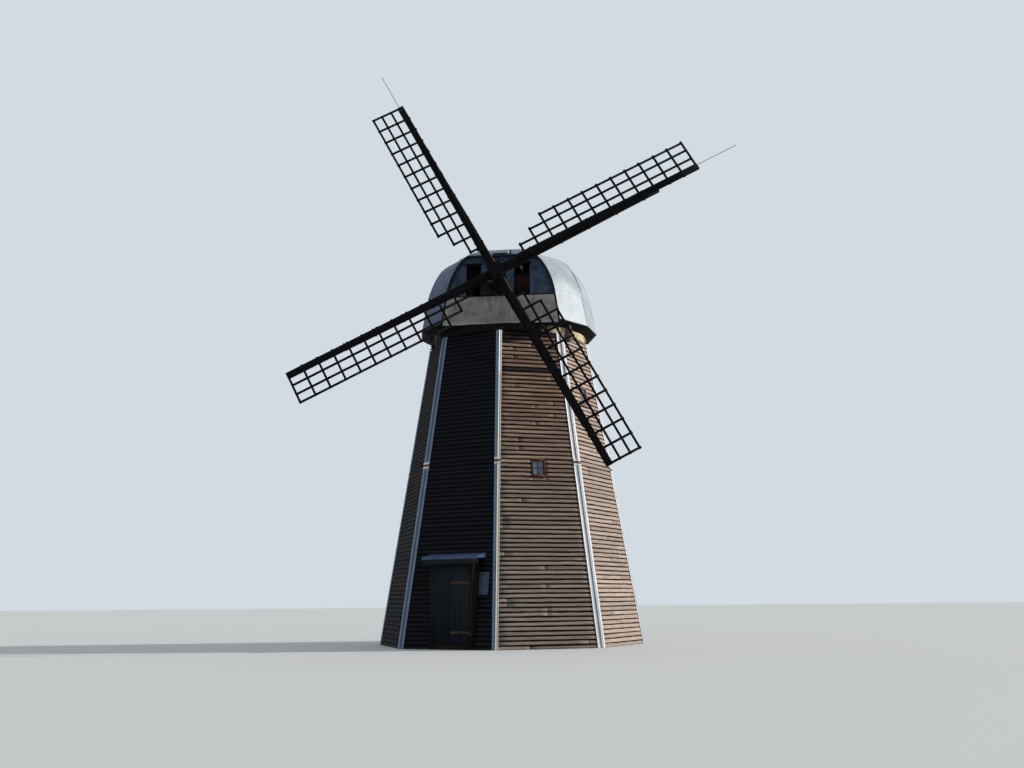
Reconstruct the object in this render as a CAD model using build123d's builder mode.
from build123d import *
import math
import os

# An eight-sided smock mill clad in boards, with a many-sided sheet-metal cap that is propped off the
# tower's corners, and four lattice sails on two crossed stocks.
# Origin: the tower's axis at ground level. +Z is up and the sails face -Y. Lengths are in millimetres,
# and azimuths are in degrees from the front (-Y) towards +X.

os.makedirs("parts", exist_ok=True)

# Tower
SIDES = 8
TOWER_HEIGHT = 9600.0
BASE_RADIUS = 4220.0          # to the corners, at the ground
TOP_RADIUS = 2640.0           # to the corners, at the top
WALL_THICKNESS = 140.0        # boards and framing, measured level
FLOOR_THICKNESS = 120.0
UPPER_FLOORS = (4150.0, 6650.0)   # undersides of the two upper floors
STRIP_LEG = 120.0             # each leg of a folded corner flashing
STRIP_THICKNESS = 14.0

# Windows of the tower: wall number, height of the sill, width, height
WINDOWS = ((0, 5000.0, 420.0, 520.0), (1, 7400.0, 520.0, 620.0),
           (4, 5000.0, 420.0, 520.0), (5, 7400.0, 520.0, 620.0))
WINDOW_FRAME = 55.0
WINDOW_SET = 105.0            # the frame reaches this far into the wall
WINDOW_PROUD = 15.0
GLASS_THICKNESS = 6.0

# Doorway, upright in the leaning wall
DOOR_WALL_NUMBER = 7
DOOR_OFFSET = 200.0           # from the wall's middle, to the right seen from outside
DOOR_WIDTH = 1200.0
DOOR_HEIGHT = 2380.0
JAMB = 120.0
HEAD = 200.0
DOOR_PROUD = 25.0             # the frame's face, outside the wall's foot
LEAF_THICKNESS = 50.0
LEAF_GAP = 8.0
HINGE_HEIGHTS = (480.0, 1880.0)
STRAP_LENGTH = 620.0
STRAP_WIDTH = 60.0
STRAP_THICKNESS = 8.0
KNUCKLE_RADIUS = 16.0
PIN_RADIUS = 8.0
PIN_GAP = 0.3
PINTLE_HEIGHT = 30.0
CANOPY_OVERHANG = 230.0       # past the frame's sides
CANOPY_REACH = 95.0           # ahead of the frame's face
CANOPY_THICKNESS = 30.0
CANOPY_RISE = 170.0

# Curb and cap
CURB_RADIUS = 2570.0
CURB_WIDTH = 320.0
CURB_HEIGHT = 240.0
DECK_THICKNESS = 135.0
DECK_COVE = 290.0             # the deck's sides slope in by this much, down to the curb
DECK_HOLE_RADIUS = 2150.0
DOME_RADIUS = 2865.0          # from the axis to the middle of each gore, at the eave
SKIRT_HEIGHT = 950.0          # straight lower part of the gores, below the curves
SKIRT_LEAN = 10.0
CAP_CURVES = ((3000.0, 30.0), (1100.0, 62.0), (5580.0, 77.0))   # radius, and the lean that it ends at
GORE_THICKNESS = 40.0
SIDE_GORES = 11               # besides the front one
FRONT_ANGLE = 54.0            # azimuth of the first gore beside the front
FRONT_Y = 2300.0              # front edge of the cap's sheets, ahead of the axis, at the eave
FRONT_LEAN = 5.4
CROWN_LAP = 40.0
CROWN_THICKNESS = 90.0
CROWN_BEVEL_HEIGHT = 60.0
CROWN_BEVEL_WIDTH = 260.0
FRONT_RECESS = 110.0          # the front sheets stand this far behind the gores' edge
FRONT_SHEET_THICKNESS = 60.0
APRON_DROP = 90.0             # below the deck's top
APRON_HEIGHT = 825.0          # above it
APRON_THICKNESS = 50.0
FRONT_SILL_THICKNESS = 35.0   # on the apron, under the front sheets and windows
FRONT_WINDOW_HEIGHT = 1100.0
FRONT_WINDOW_SIDES = (-1110.0, -630.0, 430.0, 930.0)   # of the left and the right one, from the middle
HATCH_HEIGHT = 780.0
HATCH_THICKNESS = 30.0
HATCH_GAP = 4.0               # between the hatch and the sides of its window
BEAM_LENGTH = 3400.0
BEAM_DEPTH = 150.0
BEAM_HEIGHT = 200.0
POST_ANGLE = 52.0             # azimuth of the two posts that hang beside the curb
POST_WIDTH = 90.0
POST_DEPTH = 180.0
POST_DROP = 230.0             # below the top of the walls

# Windshaft, stocks and sails
HUB_REACH = 800.0             # from the cap's front edge out to the stocks' crossing
HUB_RISE = 1325.0             # from the deck's top up to it
SHAFT_TILT = 10.8
SHAFT_RADIUS = 190.0
SHAFT_TAIL = 4250.0           # from the crossing back to the tail
POLL_SIZE = 430.0
POLL_LENGTH = 560.0
SHAFT_GAP = 0.3
WALL_GAP = 30.0               # round the shaft where it passes through the front wall
BEARING_WIDTH = 620.0
BEARING_HEIGHT = 330.0        # from the shaft's middle up and down
BEARING_DEPTH = 260.0
NECK_BACK = 1300.0            # from the crossing back to the neck bearing's middle
TAIL_BACK = 3950.0            # from the crossing back to the tail bearing's middle
NECK_BEAM_LENGTH = 3400.0
NECK_BEAM_HEIGHT = 260.0
TAIL_BEAM_LENGTH = 4700.0
FIRST_SAIL_ANGLE = 27.57      # the upper right sail, above level
STOCK_WEB = 30.0              # left between the two stocks where they cross
STOCK_REACH = 5700.0
STOCK_STRAIGHT = 400.0
STOCK_ROOT = 270.0
STOCK_TIP = 130.0
STOCK_DEPTH = 160.0
SAIL_REACH = 7160.0
SAIL_ROOT = 850.0
WHIP_WIDTH = 150.0
WHIP_DEPTH = 90.0
WEATHER = 5.0
BAR_WIDTH = 60.0
BAR_DEPTH = 40.0
BAR_PITCH = 505.0
BAR_STUB = 35.0
LATHS = ((394.0, 1040.0), (730.0, 1545.0), (1036.0, 2050.0))   # off the stock, and from the hub
ROD_LENGTH = 1350.0
ROD_LAP = 250.0
ROD_RADIUS = 9.0

CLEARANCE = 0.3

half_side = 180 / SIDES
flat_share = math.cos(math.radians(half_side))
wall_lean = math.degrees(math.atan((BASE_RADIUS - TOP_RADIUS) * flat_share / TOWER_HEIGHT))
gore_step = (360 - 2 * FRONT_ANGLE) / (SIDE_GORES - 1)
deck_bottom = TOWER_HEIGHT + CURB_HEIGHT
deck_top = deck_bottom + DECK_THICKNESS
hub_y = FRONT_Y + HUB_REACH
hub_z = deck_top + HUB_RISE


def tower_radius(height):
    """Radius to the tower's corners at a height."""
    return BASE_RADIUS + (TOP_RADIUS - BASE_RADIUS) * height / TOWER_HEIGHT


frame_face = BASE_RADIUS * flat_share + DOOR_PROUD
frame_top = DOOR_HEIGHT + HEAD
frame_back = tower_radius(frame_top) * flat_share - WALL_THICKNESS


def wall_azimuth(number):
    """Azimuth of the middle of a wall: number 0 is the one right of the front corner."""
    return (number + 0.5) * 360 / SIDES


def outward_plane(azimuth, distance, height, lean=0.0):
    """A plane that faces outwards at an azimuth, with its local x level, leaning back by an angle."""
    turn = math.radians(azimuth)
    outwards = Vector(math.sin(turn), -math.cos(turn), 0)
    rightwards = Vector(math.cos(turn), math.sin(turn), 0)
    tilt = math.radians(lean)
    normal = outwards * math.cos(tilt) + Vector(0, 0, math.sin(tilt))
    return Plane(origin=outwards * distance + Vector(0, 0, height), x_dir=rightwards, z_dir=normal)


def wall_plane(number, height, depth=0.0):
    """A plane on a wall's outer face, or a depth inside it."""
    distance = tower_radius(height) * flat_share
    return outward_plane(wall_azimuth(number), distance, height, wall_lean).offset(-depth)


def level_turned(azimuth, height):
    """A level plane whose x axis points right, seen from outside at the azimuth, and y inwards."""
    turn = math.radians(azimuth)
    return Plane(origin=(0, 0, height), x_dir=(math.cos(turn), math.sin(turn), 0), z_dir=(0, 0, 1))


def upright_section(azimuth, across=0.0, height=0.0):
    """An upright plane through the axis: local x points outwards at the azimuth and y points up."""
    facing = outward_plane(azimuth, 0, height)
    return Plane(origin=facing.origin + facing.x_dir * across, x_dir=facing.z_dir, z_dir=facing.x_dir * -1)


def tower_envelope(gap):
    """The tower's whole outer form, corner flashings included, grown by a gap."""
    with BuildPart() as envelope:
        for height in (0.0, TOWER_HEIGHT):
            with BuildSketch(Plane.XY.offset(height)):
                RegularPolygon(radius=tower_radius(height) + gap / flat_share, side_count=SIDES, rotation=90)
        loft(ruled=True)
    return envelope.part


def save(piece, name):
    piece.label = name
    export_step(piece, f"parts/{name}.step")


def sector(first, last, reach):
    """A level triangle from the axis outwards, between two azimuths."""
    first, last = math.radians(first), math.radians(last)
    with BuildSketch() as triangle:
        with BuildLine():
            Polyline((0, 0), (reach * math.sin(first), -reach * math.cos(first)),
                     (reach * math.sin(last), -reach * math.cos(last)), close=True)
        make_face()
    return triangle.sketch


def wall_panel(number):
    """One leaning wall from corner to corner, mitred where it meets its neighbours."""
    middle = wall_azimuth(number)
    with BuildPart() as panel:
        with BuildSketch(wall_plane(number, TOWER_HEIGHT / 2)):
            Rectangle(BASE_RADIUS * 2, TOWER_HEIGHT * 2)
        extrude(amount=-WALL_THICKNESS * math.cos(math.radians(wall_lean)))
        with BuildSketch(Plane.XY):
            add(sector(middle - half_side, middle + half_side, BASE_RADIUS * 2))
        extrude(amount=TOWER_HEIGHT, mode=Mode.INTERSECT)
        for wall, sill, width, tall in WINDOWS:
            if wall == number:
                with BuildSketch(wall_plane(number, sill + tall / 2)):
                    Rectangle(width, tall)
                extrude(amount=WALL_THICKNESS * 2, both=True, mode=Mode.SUBTRACT)
    return panel.part


def make_walls():
    names = ("wall_front_right", "wall_right_front", "wall_right_back", "wall_back_right",
             "wall_back_left", "wall_left_back", "wall_left_front")
    for number, name in enumerate(names):
        save(wall_panel(number), name)
    opening = DOOR_WIDTH + 2 * JAMB
    whole = wall_panel(DOOR_WALL_NUMBER)
    middle = outward_plane(wall_azimuth(DOOR_WALL_NUMBER), 0, 0)
    reach = BASE_RADIUS * 2
    cuts = (("door_wall_left", -reach / 2 + DOOR_OFFSET - opening / 2, frame_top / 2, frame_top),
            ("door_wall_right", reach / 2 + DOOR_OFFSET + opening / 2, frame_top / 2, frame_top),
            ("door_wall_over", 0, (frame_top + TOWER_HEIGHT) / 2, TOWER_HEIGHT - frame_top))
    for name, across, up, tall in cuts:
        with BuildPart() as piece:
            add(whole)
            with BuildSketch(middle):
                with Locations((across, up)):
                    Rectangle(reach, tall)
            extrude(amount=reach, mode=Mode.INTERSECT)
        save(piece.part, name)


def make_floors():
    levels = (("ground_floor", 0.0), ("first_floor", UPPER_FLOORS[0]), ("second_floor", UPPER_FLOORS[1]))
    for name, bottom in levels:
        with BuildPart() as floor:
            for height in (bottom, bottom + FLOOR_THICKNESS):
                inner = tower_radius(height) - WALL_THICKNESS / flat_share
                with BuildSketch(Plane.XY.offset(height)):
                    RegularPolygon(radius=inner, side_count=SIDES, rotation=90)
            loft(ruled=True)
            if name == "ground_floor":
                with BuildSketch(outward_plane(wall_azimuth(DOOR_WALL_NUMBER), frame_back, 0)):
                    with Locations((DOOR_OFFSET, 0)):
                        Rectangle(DOOR_WIDTH + 2 * JAMB, 4 * FLOOR_THICKNESS)
                extrude(amount=BASE_RADIUS, mode=Mode.SUBTRACT)
        save(floor.part, name)


def make_corner_flashings():
    """Folded strips over the eight corners, each two legs that lie on the walls beside it."""
    with BuildPart() as strips:
        for number in range(SIDES):
            azimuth = number * 360 / SIDES
            for height in (0.0, TOWER_HEIGHT):
                inner = tower_radius(height) + CLEARANCE / flat_share
                outer = inner + STRIP_THICKNESS / flat_share
                across = STRIP_LEG * flat_share
                back = STRIP_LEG * math.sin(math.radians(half_side))
                with BuildSketch(level_turned(azimuth, height)):
                    with BuildLine():
                        Polyline((0, -outer), (across, back - outer), (across, back - inner),
                                 (0, -inner), (-across, back - inner), (-across, back - outer),
                                 close=True)
                    make_face()
            loft(ruled=True)
    save(strips.part, "corner_flashings")


def make_windows():
    with BuildPart() as frames:
        for wall, sill, width, tall in WINDOWS:
            with BuildSketch(wall_plane(wall, sill + tall / 2, WINDOW_SET)):
                Rectangle(width, tall)
                Rectangle(width - 2 * WINDOW_FRAME, tall - 2 * WINDOW_FRAME, mode=Mode.SUBTRACT)
            extrude(amount=WINDOW_SET + WINDOW_PROUD)
    save(frames.part, "window_frames")
    with BuildPart() as glass:
        for wall, sill, width, tall in WINDOWS:
            with BuildSketch(wall_plane(wall, sill + tall / 2, WINDOW_SET / 2)):
                Rectangle(width - 2 * WINDOW_FRAME, tall - 2 * WINDOW_FRAME)
            extrude(amount=GLASS_THICKNESS)
    save(glass.part, "window_glass")


def make_doorway():
    front = outward_plane(wall_azimuth(DOOR_WALL_NUMBER), frame_face, 0)
    with BuildPart() as frame:
        with BuildSketch(front):
            with Locations((DOOR_OFFSET, frame_top / 2)):
                Rectangle(DOOR_WIDTH + 2 * JAMB, frame_top)
            with Locations((DOOR_OFFSET, (FLOOR_THICKNESS + DOOR_HEIGHT) / 2)):
                Rectangle(DOOR_WIDTH, DOOR_HEIGHT - FLOOR_THICKNESS, mode=Mode.SUBTRACT)
        extrude(amount=-(frame_face - frame_back))
    save(frame.part, "door_frame")

    with BuildPart() as leaf:
        with BuildSketch(front):
            with Locations((DOOR_OFFSET, (FLOOR_THICKNESS + DOOR_HEIGHT) / 2)):
                Rectangle(DOOR_WIDTH - 2 * LEAF_GAP, DOOR_HEIGHT - FLOOR_THICKNESS - 2 * LEAF_GAP)
        extrude(amount=-LEAF_THICKNESS)
    save(leaf.part, "door_leaf")

    hinge_across = DOOR_OFFSET + DOOR_WIDTH / 2
    hinge_origin = front.from_local_coords((hinge_across, 0, KNUCKLE_RADIUS + STRAP_THICKNESS / 2))
    with BuildPart() as straps:
        for height in HINGE_HEIGHTS:
            with BuildSketch(front):
                with Locations((hinge_across - LEAF_GAP, height)):
                    Rectangle(STRAP_LENGTH, STRAP_WIDTH, align=(Align.MAX, Align.CENTER))
            extrude(amount=STRAP_THICKNESS)
            with BuildSketch(Plane(origin=hinge_origin + Vector(0, 0, height))):
                Circle(KNUCKLE_RADIUS)
                Circle(PIN_RADIUS + PIN_GAP, mode=Mode.SUBTRACT)
            extrude(amount=STRAP_WIDTH / 2, both=True)
    save(straps.part, "door_straps")

    with BuildPart() as pintles:
        for height in HINGE_HEIGHTS:
            foot = Plane(origin=hinge_origin + Vector(0, 0, height - STRAP_WIDTH / 2 - PIN_GAP))
            with BuildSketch(foot):
                Circle(PIN_RADIUS)
            extrude(amount=STRAP_WIDTH + KNUCKLE_RADIUS)
            with BuildSketch(foot):
                Circle(KNUCKLE_RADIUS - STRAP_THICKNESS / 2)
            extrude(amount=-PINTLE_HEIGHT)
            with BuildSketch(front):
                with Locations((hinge_across, foot.origin.Z)):
                    Rectangle(JAMB * 0.6, PINTLE_HEIGHT, align=(Align.MIN, Align.MAX))
            extrude(amount=KNUCKLE_RADIUS + STRAP_THICKNESS / 2)
    save(pintles.part, "door_pintles")

    canopy_back = tower_radius(frame_top + CANOPY_RISE) * flat_share
    profile = upright_section(wall_azimuth(DOOR_WALL_NUMBER), DOOR_OFFSET)
    length = DOOR_WIDTH + 2 * JAMB + 2 * CANOPY_OVERHANG
    with BuildPart() as canopy:
        with BuildSketch(profile):
            with BuildLine():
                Polyline((frame_face + CANOPY_REACH, frame_top), (canopy_back - JAMB, frame_top),
                         (canopy_back - JAMB, frame_top + CANOPY_RISE),
                         (frame_face + CANOPY_REACH, frame_top + CANOPY_THICKNESS), close=True)
            make_face()
        extrude(amount=length / 2, both=True)
        add(tower_envelope(CLEARANCE), mode=Mode.SUBTRACT)
    save(canopy.part, "door_canopy")


def cap_outline(front, inset=0.0):
    """Corners of the cap's plan, anticlockwise from the right end of its flat front."""
    radius = DOME_RADIUS - inset
    turn = math.radians(FRONT_ANGLE)
    corner = (radius - front * math.cos(turn)) / math.sin(turn)
    points = [(corner, -front)]
    for number in range(SIDE_GORES - 1):
        middle = math.radians(FRONT_ANGLE + (number + 0.5) * gore_step)
        reach = radius / math.cos(math.radians(gore_step / 2))
        points.append((reach * math.sin(middle), -reach * math.cos(middle)))
    points.append((-corner, -front))
    return points


def cap_section(inset=0.0):
    """Joints of a gore's section, from the eave up, with the radii of the arcs between the upper ones.

    A point is (distance from the axis, height above the deck), moved inwards by the inset.
    """
    lean = math.radians(SKIRT_LEAN)
    reach = DOME_RADIUS - SKIRT_HEIGHT * math.tan(lean)
    height = SKIRT_HEIGHT
    points = [(DOME_RADIUS - inset / math.cos(lean), 0),
              (reach - inset * math.cos(lean), height - inset * math.sin(lean))]
    for radius, end in CAP_CURVES:
        following = math.radians(end)
        reach -= radius * (math.cos(lean) - math.cos(following))
        height += radius * (math.sin(following) - math.sin(lean))
        lean = following
        points.append((reach - inset * math.cos(lean), height - inset * math.sin(lean)))
    return points, [radius - inset for radius, end in CAP_CURVES]


def front_plane(depth=0.0):
    """The leaning plane of the cap's front edge, or one behind it; y is measured up from the deck."""
    return outward_plane(0, FRONT_Y, deck_top, FRONT_LEAN).offset(-depth)


def gore(azimuth, first_mitre, last_mitre):
    """One gore: its section carried along a level line, between two mitre planes and the front."""
    outer, outer_radii = cap_section()
    inner, inner_radii = cap_section(GORE_THICKNESS)
    reach = DOME_RADIUS * 3
    with BuildPart() as piece:
        with BuildSketch(upright_section(azimuth, 0, deck_top)):
            with BuildLine():
                Line(outer[0], outer[1])
                for number, radius in enumerate(outer_radii, 1):
                    RadiusArc(outer[number], outer[number + 1], -radius)
                Line(outer[-1], inner[-1])
                for number, radius in enumerate(inner_radii, 1):
                    RadiusArc(inner[number], inner[number + 1], -radius)
                Line(inner[1], inner[0])
                Line(inner[0], outer[0])
            make_face()
        extrude(amount=reach / 2, both=True)
        with BuildSketch(Plane.XY.offset(deck_top)):
            add(sector(first_mitre, last_mitre, reach))
        extrude(amount=DOME_RADIUS * 2, mode=Mode.INTERSECT)
        with BuildSketch(front_plane()):
            Rectangle(reach, reach * 2)
        extrude(amount=-reach * 2, mode=Mode.INTERSECT)
    return piece.part


def under_gore(azimuth):
    """Everything under one gore's inner face, to fit the boards of the front."""
    points, radii = cap_section(GORE_THICKNESS + CLEARANCE)
    foot, top = points[0], points[-1]
    far = DOME_RADIUS * 2
    with BuildPart() as space:
        with BuildSketch(upright_section(azimuth, 0, deck_top)):
            with BuildLine():
                Line(foot, points[1])
                for number, radius in enumerate(radii, 1):
                    RadiusArc(points[number], points[number + 1], -radius)
                Polyline(top, (-far, top[1]), (-far, -far), (foot[0], -far), foot)
            make_face()
        extrude(amount=far, both=True)
    return space.part


def make_gores():
    half_step = gore_step / 2
    front_mitre = FRONT_ANGLE / 2
    save(gore(0, -front_mitre, front_mitre), "cap_gore_front")
    for number in range(SIDE_GORES):
        azimuth = FRONT_ANGLE + number * gore_step
        first = front_mitre if number == 0 else azimuth - half_step
        last = 360 - front_mitre if number == SIDE_GORES - 1 else azimuth + half_step
        save(gore(azimuth, first, last), f"cap_gore_{number + 1}")
    azimuths = [0.0] + [FRONT_ANGLE + number * gore_step for number in range(SIDE_GORES)]
    section, radii = cap_section()
    gore_end = cap_section(GORE_THICKNESS + CLEARANCE)[0][-1]
    reach = section[-1][0] + CROWN_LAP
    lap_height = section[-1][1] - CROWN_LAP / math.tan(math.radians(CAP_CURVES[-1][1]))
    points = []
    for azimuth, following in zip(azimuths, azimuths[1:] + [360.0]):
        middle = math.radians((azimuth + following) / 2)
        corner = reach / math.cos(math.radians((following - azimuth) / 2))
        points.append((corner * math.sin(middle), -corner * math.cos(middle)))
    with BuildPart() as crown:
        with BuildSketch(Plane.XY.offset(deck_top + lap_height)):
            with BuildLine():
                Polyline(*points, close=True)
            make_face()
        extrude(amount=CROWN_THICKNESS)
        chamfer(crown.edges().group_by(Axis.Z)[-1], length=CROWN_BEVEL_HEIGHT, length2=CROWN_BEVEL_WIDTH)
        for azimuth in azimuths:
            with BuildSketch(upright_section(azimuth, 0, deck_top)):
                with BuildLine():
                    Polyline(section[-1], gore_end, (gore_end[0], 0), (DOME_RADIUS, 0),
                             (DOME_RADIUS, section[-2][1]), section[-2])
                    RadiusArc(section[-2], section[-1], -radii[-1])
                make_face()
            extrude(amount=reach, both=True, mode=Mode.SUBTRACT)
    save(crown.part, "cap_crown")


def deck_body():
    """The deck's outer form: upright behind the apron, sloping in to the curb along its other sides."""
    front = FRONT_Y - APRON_THICKNESS / math.cos(math.radians(FRONT_LEAN)) - CLEARANCE
    with BuildPart() as body:
        for height, cove in ((deck_bottom, DECK_COVE), (deck_top, 0.0)):
            with BuildSketch(Plane.XY.offset(height)):
                with BuildLine():
                    Polyline(*cap_outline(front, cove), close=True)
                make_face()
        loft(ruled=True)
    return body.part


def make_cap_base():
    with BuildPart() as curb:
        with BuildSketch(Plane.XY.offset(TOWER_HEIGHT)):
            Circle(CURB_RADIUS)
            Circle(CURB_RADIUS - CURB_WIDTH, mode=Mode.SUBTRACT)
        extrude(amount=CURB_HEIGHT)
    save(curb.part, "curb_ring")
    with BuildPart() as deck:
        add(deck_body())
        with BuildSketch(Plane.XY.offset(deck_bottom)):
            Circle(DECK_HOLE_RADIUS)
        extrude(amount=DECK_THICKNESS, mode=Mode.SUBTRACT)
    save(deck.part, "cap_deck")
    with BuildPart() as beam:
        with BuildSketch(front_plane(APRON_THICKNESS + CLEARANCE)):
            with Locations((0, BEAM_HEIGHT / 2)):
                Rectangle(BEAM_LENGTH, BEAM_HEIGHT * 2)
        extrude(amount=-BEAM_DEPTH)
        with BuildSketch(Plane.XY.offset(deck_top)):
            Rectangle(BEAM_LENGTH, 2 * FRONT_Y)
        extrude(amount=BEAM_HEIGHT, mode=Mode.INTERSECT)
    save(beam.part, "front_beam")
    with BuildPart() as posts:
        for azimuth in (-POST_ANGLE, POST_ANGLE):
            with BuildSketch(outward_plane(azimuth, CURB_RADIUS, deck_top)):
                Rectangle(POST_WIDTH, DECK_THICKNESS + CURB_HEIGHT + POST_DROP,
                          align=(Align.CENTER, Align.MAX))
            extrude(amount=POST_DEPTH)
        add(deck_body(), mode=Mode.SUBTRACT)
        add(tower_envelope(CLEARANCE), mode=Mode.SUBTRACT)
    save(posts.part, "cap_props")


def front_board(name, left, right, bottom, top, depth, thickness):
    """A board of the cap's leaning front, trimmed to the inside of the gores and round the shaft."""
    with BuildPart() as board:
        with BuildSketch(front_plane(depth)):
            with Locations(((left + right) / 2, (bottom + top) / 2)):
                Rectangle(right - left, top - bottom)
        extrude(amount=-thickness)
        for azimuth in (-FRONT_ANGLE, 0, FRONT_ANGLE):
            add(under_gore(azimuth), mode=Mode.INTERSECT)
        with BuildSketch(shaft_plane()):
            Circle(SHAFT_RADIUS + WALL_GAP)
        extrude(amount=-SHAFT_TAIL, mode=Mode.SUBTRACT)
    save(board.part, name)


def make_cap_front():
    side = DOME_RADIUS
    sill_top = APRON_HEIGHT + FRONT_SILL_THICKNESS
    head = sill_top + FRONT_WINDOW_HEIGHT
    left_outer, left_inner, right_inner, right_outer = FRONT_WINDOW_SIDES
    front_board("cap_apron", -side, side, -APRON_DROP, APRON_HEIGHT, 0, APRON_THICKNESS)
    front_board("front_sill", -side, side, APRON_HEIGHT, sill_top, 0, FRONT_RECESS + FRONT_SHEET_THICKNESS)
    sheets = (("front_sheet_left", -side, left_outer, sill_top, head),
              ("front_sheet_middle", left_inner, right_inner, sill_top, head),
              ("front_sheet_right", right_outer, side, sill_top, head),
              ("front_sheet_over", -side, side, head, head + side))
    for name, left, right, bottom, top in sheets:
        front_board(name, left, right, bottom, top, FRONT_RECESS, FRONT_SHEET_THICKNESS)
    front_board("front_hatch", right_inner + HATCH_GAP, right_outer - HATCH_GAP, sill_top,
                sill_top + HATCH_HEIGHT, FRONT_RECESS + (FRONT_SHEET_THICKNESS - HATCH_THICKNESS) / 2,
                HATCH_THICKNESS)


def shaft_plane(along=0.0):
    """Square to the windshaft, x to the right and z forwards; along is measured towards the front."""
    tilt = math.radians(SHAFT_TILT)
    forwards = Vector(0, -math.cos(tilt), math.sin(tilt))
    return Plane(origin=Vector(0, -hub_y, hub_z) + forwards * along, x_dir=(1, 0, 0), z_dir=forwards)


def sail_plane(number, along=0.0, weather=0.0):
    """On the stock that carries a sail: x runs out along the sail, z forwards, y to its lattice side."""
    side = 1 if number % 2 == 0 else -1
    base = shaft_plane(side * (STOCK_DEPTH + STOCK_WEB) / 2 + along)
    turn = math.radians(FIRST_SAIL_ANGLE + 90 * number)
    outwards = base.x_dir * math.cos(turn) + base.y_dir * math.sin(turn)
    across = base.z_dir.cross(outwards)
    twist = math.radians(weather)
    normal = base.z_dir * math.cos(twist) - across * math.sin(twist)
    return Plane(origin=base.origin, x_dir=outwards, z_dir=normal)


def make_bearings():
    """Blocks bored for the windshaft: one on a beam with two posts, one on a beam across the deck."""
    neck = shaft_plane(-NECK_BACK).origin
    neck_seat = neck.Z - BEARING_HEIGHT
    beam_bottom = neck_seat - NECK_BEAM_HEIGHT
    with BuildPart() as neck_bearing:
        with BuildSketch(outward_plane(0, -neck.Y, neck.Z)):
            Rectangle(BEARING_WIDTH, BEARING_HEIGHT * 2)
            with Locations((0, -BEARING_HEIGHT)):
                Rectangle(NECK_BEAM_LENGTH, NECK_BEAM_HEIGHT, align=(Align.CENTER, Align.MAX))
            for side in (-1, 1):
                with Locations((side * (NECK_BEAM_LENGTH - BEARING_DEPTH) / 2, beam_bottom - neck.Z)):
                    Rectangle(BEARING_DEPTH, beam_bottom - deck_top, align=(Align.CENTER, Align.MAX))
        extrude(amount=BEARING_DEPTH / 2, both=True)
        with BuildSketch(shaft_plane()):
            Circle(SHAFT_RADIUS + SHAFT_GAP)
        extrude(amount=-SHAFT_TAIL * 2, mode=Mode.SUBTRACT)
    save(neck_bearing.part, "neck_bearing")
    tail = shaft_plane(-TAIL_BACK).origin
    with BuildPart() as tail_bearing:
        with BuildSketch(outward_plane(0, -tail.Y, tail.Z)):
            Rectangle(BEARING_WIDTH, BEARING_HEIGHT * 2)
            with Locations((0, -BEARING_HEIGHT)):
                Rectangle(TAIL_BEAM_LENGTH, tail.Z - BEARING_HEIGHT - deck_top,
                          align=(Align.CENTER, Align.MAX))
        extrude(amount=BEARING_DEPTH / 2, both=True)
        with BuildSketch(shaft_plane()):
            Circle(SHAFT_RADIUS + SHAFT_GAP)
        extrude(amount=-SHAFT_TAIL * 2, mode=Mode.SUBTRACT)
    save(tail_bearing.part, "tail_bearing")


def make_windshaft():
    with BuildPart() as shaft:
        with BuildSketch(shaft_plane(-POLL_LENGTH / 2)):
            Circle(SHAFT_RADIUS)
        extrude(amount=-(SHAFT_TAIL - POLL_LENGTH / 2))
        with BuildSketch(shaft_plane(-POLL_LENGTH / 2)):
            Rectangle(POLL_SIZE, POLL_SIZE, rotation=FIRST_SAIL_ANGLE)
        extrude(amount=POLL_LENGTH)
        for number in (0, 1):
            with BuildSketch(sail_plane(number)):
                Rectangle(POLL_SIZE * 2, STOCK_ROOT)
            extrude(amount=STOCK_DEPTH / 2, both=True, mode=Mode.SUBTRACT)
    save(shaft.part, "windshaft")


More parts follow.
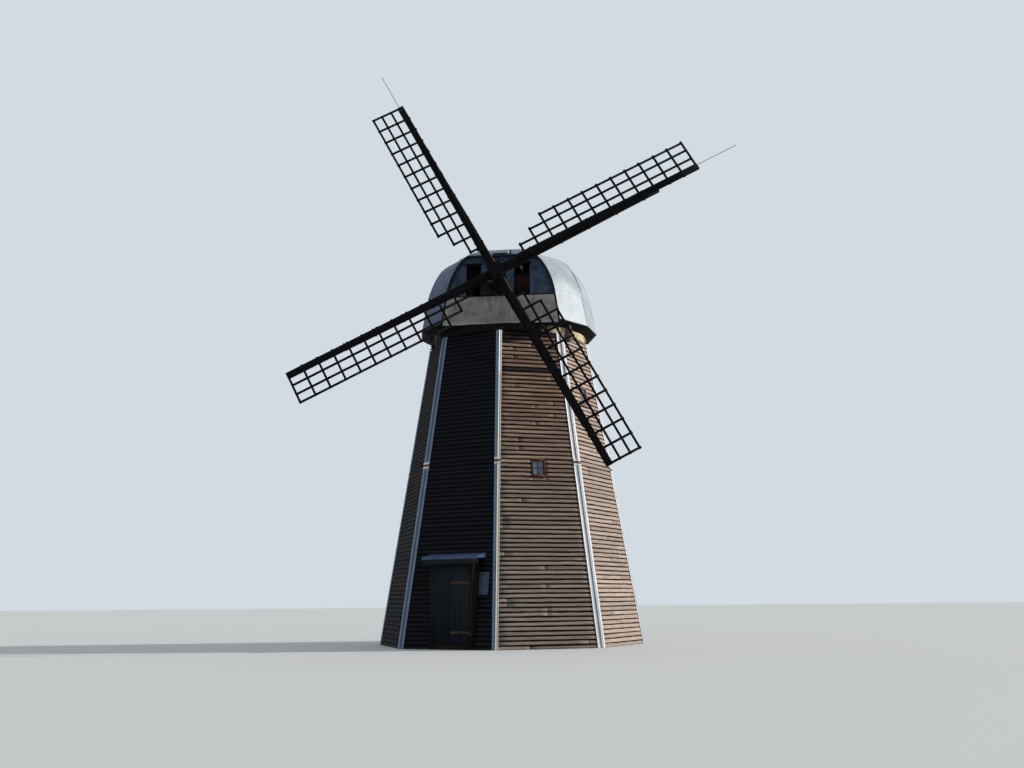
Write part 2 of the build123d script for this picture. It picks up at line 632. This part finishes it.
def make_stocks():
    for number, name in ((0, "front_stock"), (1, "rear_stock")):
        root, tip = STOCK_ROOT / 2, STOCK_TIP / 2
        with BuildPart() as stock:
            with BuildSketch(sail_plane(number)):
                with BuildLine():
                    Polyline((-STOCK_REACH, -tip), (-STOCK_STRAIGHT, -root), (STOCK_STRAIGHT, -root),
                             (STOCK_REACH, -tip), (STOCK_REACH, tip), (STOCK_STRAIGHT, root),
                             (-STOCK_STRAIGHT, root), (-STOCK_REACH, tip), close=True)
                make_face()
            extrude(amount=STOCK_DEPTH / 2, both=True)
        save(stock.part, name)


first_bar = SAIL_REACH - BAR_WIDTH / 2


def bar_count(inner):
    """How many pitches fit between the outermost bar and a lath's inner end."""
    return int((first_bar - inner) / BAR_PITCH)


def make_sails():
    names = ("sail_upper_right", "sail_upper_left", "sail_lower_left", "sail_lower_right")
    face = STOCK_DEPTH / 2
    for number, name in enumerate(names):
        with BuildPart() as sail:
            with BuildSketch(sail_plane(number, face)):
                with Locations((SAIL_ROOT, 0)):
                    Rectangle(SAIL_REACH - SAIL_ROOT, WHIP_WIDTH, align=(Align.MIN, Align.MIN))
            extrude(amount=WHIP_DEPTH)
            with BuildSketch(sail_plane(number, face + WHIP_DEPTH / 2, WEATHER)):
                for count in range(bar_count(LATHS[0][1]) + 1):
                    reached = [across for across, inner in LATHS if bar_count(inner) >= count]
                    length = max(reached) + BAR_WIDTH / 2 + BAR_STUB
                    with Locations((first_bar - count * BAR_PITCH, -BAR_STUB)):
                        Rectangle(BAR_WIDTH, length + BAR_STUB, align=(Align.CENTER, Align.MIN))
                for across, inner in LATHS:
                    inner_end = first_bar - bar_count(inner) * BAR_PITCH - BAR_WIDTH / 2
                    with Locations((inner_end, across)):
                        Rectangle(SAIL_REACH - inner_end, BAR_WIDTH, align=(Align.MIN, Align.CENTER))
            extrude(amount=BAR_DEPTH / 2, both=True)
        save(sail.part, name)
    with BuildPart() as rods:
        for number in (0, 1):
            front = sail_plane(number, face + WHIP_DEPTH + ROD_RADIUS + CLEARANCE)
            start = front.from_local_coords((SAIL_REACH - ROD_LAP, WHIP_WIDTH / 2, 0))
            with BuildSketch(Plane(origin=start, x_dir=front.z_dir, z_dir=front.x_dir)):
                Circle(ROD_RADIUS)
            extrude(amount=ROD_LAP + ROD_LENGTH)
    save(rods.part, "tip_rods")


make_walls()
make_floors()
make_corner_flashings()
make_windows()
make_doorway()
make_cap_base()
make_gores()
make_cap_front()
make_bearings()
make_windshaft()
make_stocks()
make_sails()
